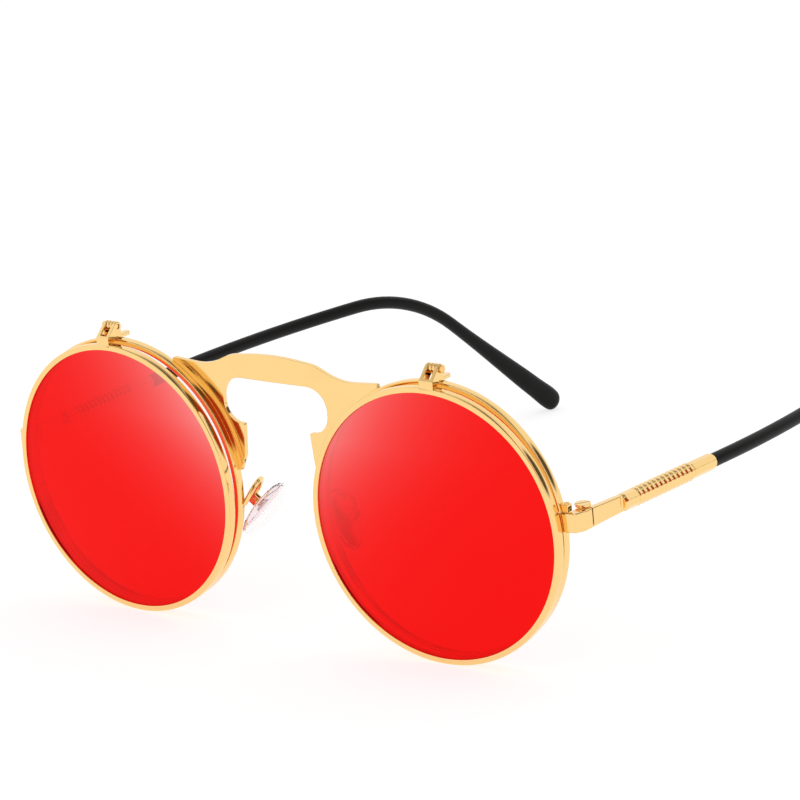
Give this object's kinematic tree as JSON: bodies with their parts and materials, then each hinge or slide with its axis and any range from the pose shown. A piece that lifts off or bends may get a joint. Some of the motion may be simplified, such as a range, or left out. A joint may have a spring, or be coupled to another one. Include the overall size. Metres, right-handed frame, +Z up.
{
  "type": "flip up sunglasses",
  "caption": "Round wire-rim glasses with mirrored outer lenses that flip up on small hinges, a plate bridge, rocking nose pads and folding temples.",
  "frame": {"origin": "middle of the bounding box, on the table the glasses stand on with the temples open", "axes": "+X to the wearer's left, +Y from the lenses back along the temples, +Z up from the table"},
  "size_m": [0.131, 0.157, 0.0542],
  "materials": {
    "gold": "polished gold plating",
    "mirror_lens": "red mirror coating on tinted plastic",
    "clear_lens": "clear",
    "tip_plastic": "satin black",
    "pad_silicone": "clear soft plastic",
    "insert_plastic": "clear plastic"
  },
  "bodies": {
    "front": {"bridge_plate": "gold", "left_rim": "gold", "left_fixed_lens": "clear_lens", "left_end_piece": "gold", "left_closing_block": "gold", "left_rim_screw": "gold", "left_front_hinge_leaf": "gold", "left_temple_hinge_screw": "gold", "left_pad_arm": "gold", "left_pad_screw": "gold", "left_flip_hinge_base": "gold", "left_flip_hinge_screw": "gold", "right_rim": "gold", "right_fixed_lens": "clear_lens", "right_end_piece": "gold", "right_closing_block": "gold", "right_rim_screw": "gold", "right_front_hinge_leaf": "gold", "right_temple_hinge_screw": "gold", "right_pad_arm": "gold", "right_pad_screw": "gold", "right_flip_hinge_base": "gold", "right_flip_hinge_screw": "gold"},
    "left_flip": {"left_flip_rim": "gold", "left_flip_lens": "mirror_lens", "left_flip_bracket": "gold"},
    "left_temple": {"left_temple_bar": "gold", "left_temple_hinge_leaf": "gold", "left_ribbed_sleeve": "gold", "left_temple_tip": "tip_plastic"},
    "left_pad": {"left_nose_pad": "pad_silicone", "left_pad_insert": "insert_plastic"},
    "right_flip": {"right_flip_rim": "gold", "right_flip_lens": "mirror_lens", "right_flip_bracket": "gold"},
    "right_temple": {"right_temple_bar": "gold", "right_temple_hinge_leaf": "gold", "right_ribbed_sleeve": "gold", "right_temple_tip": "tip_plastic"},
    "right_pad": {"right_nose_pad": "pad_silicone", "right_pad_insert": "insert_plastic"}
  },
  "joints": [
    {"name": "left_flip_hinge", "type": "hinge", "parent": "front", "child": "left_flip", "pos_m": [0.0359, -0.07536, 0.05332], "axis": [-0.9994, -0.0348, -0.0021], "range_deg": [0, 95]},
    {"name": "right_flip_hinge", "type": "hinge", "parent": "front", "child": "right_flip", "pos_m": [-0.0359, -0.07536, 0.05332], "axis": [-0.9994, 0.0348, 0.0021], "range_deg": [0, 95]},
    {"name": "left_temple_hinge", "type": "hinge", "parent": "front", "child": "left_temple", "pos_m": [0.0611, -0.06891, 0.02877], "axis": [0, -0.0611, 0.9981], "range_deg": [0, 86]},
    {"name": "right_temple_hinge", "type": "hinge", "parent": "front", "child": "right_temple", "pos_m": [-0.0611, -0.06891, 0.02877], "axis": [0, 0.0611, -0.9981], "range_deg": [0, 74]},
    {"name": "left_pad_rock", "type": "hinge", "parent": "front", "child": "left_pad", "pos_m": [0.01082, -0.06818, 0.02214], "axis": [-0.1131, -0.9524, 0.283], "range_deg": [-8, 8]},
    {"name": "right_pad_rock", "type": "hinge", "parent": "front", "child": "right_pad", "pos_m": [-0.01082, -0.06818, 0.02214], "axis": [-0.1131, 0.9524, -0.283], "range_deg": [-8, 8]}
  ]
}
